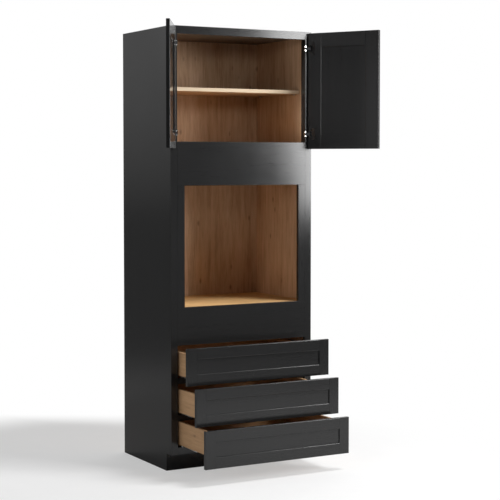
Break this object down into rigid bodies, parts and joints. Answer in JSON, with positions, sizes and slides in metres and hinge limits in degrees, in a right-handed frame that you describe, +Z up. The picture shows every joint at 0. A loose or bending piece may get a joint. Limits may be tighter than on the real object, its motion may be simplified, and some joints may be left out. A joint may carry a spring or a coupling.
{
  "type": "oven pantry cabinet",
  "caption": "Tall black shaker kitchen cabinet with a built-in oven opening, paired doors over a shelf above it and pull-out drawers below, on a recessed toe kick.",
  "frame": {"origin": "on the floor, on the centre line, in the rear plane that stands against the wall", "axes": "+X right seen from the front, +Y towards the wall, +Z up"},
  "size_m": [1.2334, 0.963, 2.286],
  "materials": {
    "black_paint": "black satin paint on hardwood and veneered board",
    "natural_wood": "clear-coated natural wood",
    "zinc_steel": "zinc-plated steel",
    "bracket_plastic": "moulded plastic"
  },
  "bodies": {
    "carcass": {"back_panel": "natural_wood", "bottom_panel": "natural_wood", "bottom_rail": "black_paint", "cabinet_slide_members": "zinc_steel", "hanging_rails": "natural_wood", "left_hinge_arms": "zinc_steel", "left_oven_filler": "black_paint", "left_side_panel": "black_paint", "left_stile": "black_paint", "lower_drawer_rail": "black_paint", "oven_deck": "natural_wood", "oven_header": "black_paint", "oven_sill": "black_paint", "rear_base_rail": "natural_wood", "right_hinge_arms": "zinc_steel", "right_oven_filler": "black_paint", "right_side_panel": "black_paint", "right_stile": "black_paint", "shelf": "natural_wood", "shelf_pins": "zinc_steel", "slide_rear_brackets": "bracket_plastic", "toe_kick_board": "black_paint", "top_panel": "natural_wood", "top_rail": "black_paint", "upper_deck": "natural_wood", "upper_drawer_rail": "black_paint"},
    "left_door": {"left_door_hinge_stile": "black_paint", "left_door_meeting_stile": "black_paint", "left_door_panel": "black_paint", "left_door_rails": "black_paint", "left_hinge_cups": "zinc_steel"},
    "lower_drawer": {"lower_drawer_box_bottom": "natural_wood", "lower_drawer_box_ends": "natural_wood", "lower_drawer_box_sides": "natural_wood", "lower_drawer_front_panel": "black_paint", "lower_drawer_front_rails": "black_paint", "lower_drawer_front_stiles": "black_paint", "lower_drawer_slide_runners": "zinc_steel"},
    "lower_slide_middle": {"lower_slide_middles": "zinc_steel"},
    "middle_drawer": {"middle_drawer_box_bottom": "natural_wood", "middle_drawer_box_ends": "natural_wood", "middle_drawer_box_sides": "natural_wood", "middle_drawer_front_panel": "black_paint", "middle_drawer_front_rails": "black_paint", "middle_drawer_front_stiles": "black_paint", "middle_drawer_slide_runners": "zinc_steel"},
    "middle_slide_middle": {"middle_slide_middles": "zinc_steel"},
    "right_door": {"right_door_hinge_stile": "black_paint", "right_door_meeting_stile": "black_paint", "right_door_panel": "black_paint", "right_door_rails": "black_paint", "right_hinge_cups": "zinc_steel"},
    "upper_drawer": {"upper_drawer_box_bottom": "natural_wood", "upper_drawer_box_ends": "natural_wood", "upper_drawer_box_sides": "natural_wood", "upper_drawer_front_panel": "black_paint", "upper_drawer_front_rails": "black_paint", "upper_drawer_front_stiles": "black_paint", "upper_drawer_slide_runners": "zinc_steel"},
    "upper_slide_middle": {"upper_slide_middles": "zinc_steel"}
  },
  "joints": [
    {"name": "left_door_hinge", "type": "hinge", "parent": "carcass", "child": "left_door", "pos_m": [-0.4064, -0.5965, 1.9705], "axis": [0, 0, -1], "range_deg": [-120, 0]},
    {"name": "right_door_hinge", "type": "hinge", "parent": "carcass", "child": "right_door", "pos_m": [0.4064, -0.5965, 1.9705], "axis": [0, 0, 1], "range_deg": [-120, 0]},
    {"name": "lower_drawer_slide", "type": "slide", "parent": "carcass", "child": "lower_drawer", "axis": [0, -1, 0], "range_m": [-0.357, 0.151]},
    {"name": "lower_middle_slide", "type": "slide", "parent": "carcass", "child": "lower_slide_middle", "axis": [0, -1, 0], "range_m": [-0.1785, 0.0755]},
    {"name": "middle_drawer_slide", "type": "slide", "parent": "carcass", "child": "middle_drawer", "axis": [0, -1, 0], "range_m": [-0.258, 0.25]},
    {"name": "middle_middle_slide", "type": "slide", "parent": "carcass", "child": "middle_slide_middle", "axis": [0, -1, 0], "range_m": [-0.129, 0.125]},
    {"name": "upper_drawer_slide", "type": "slide", "parent": "carcass", "child": "upper_drawer", "axis": [0, -1, 0], "range_m": [-0.16, 0.348]},
    {"name": "upper_middle_slide", "type": "slide", "parent": "carcass", "child": "upper_slide_middle", "axis": [0, -1, 0], "range_m": [-0.08, 0.174]}
  ],
  "couplings": [
    {"joint": "lower_middle_slide", "follows": "lower_drawer_slide", "ratio": 0.5},
    {"joint": "middle_middle_slide", "follows": "middle_drawer_slide", "ratio": 0.5},
    {"joint": "upper_middle_slide", "follows": "upper_drawer_slide", "ratio": 0.5}
  ]
}
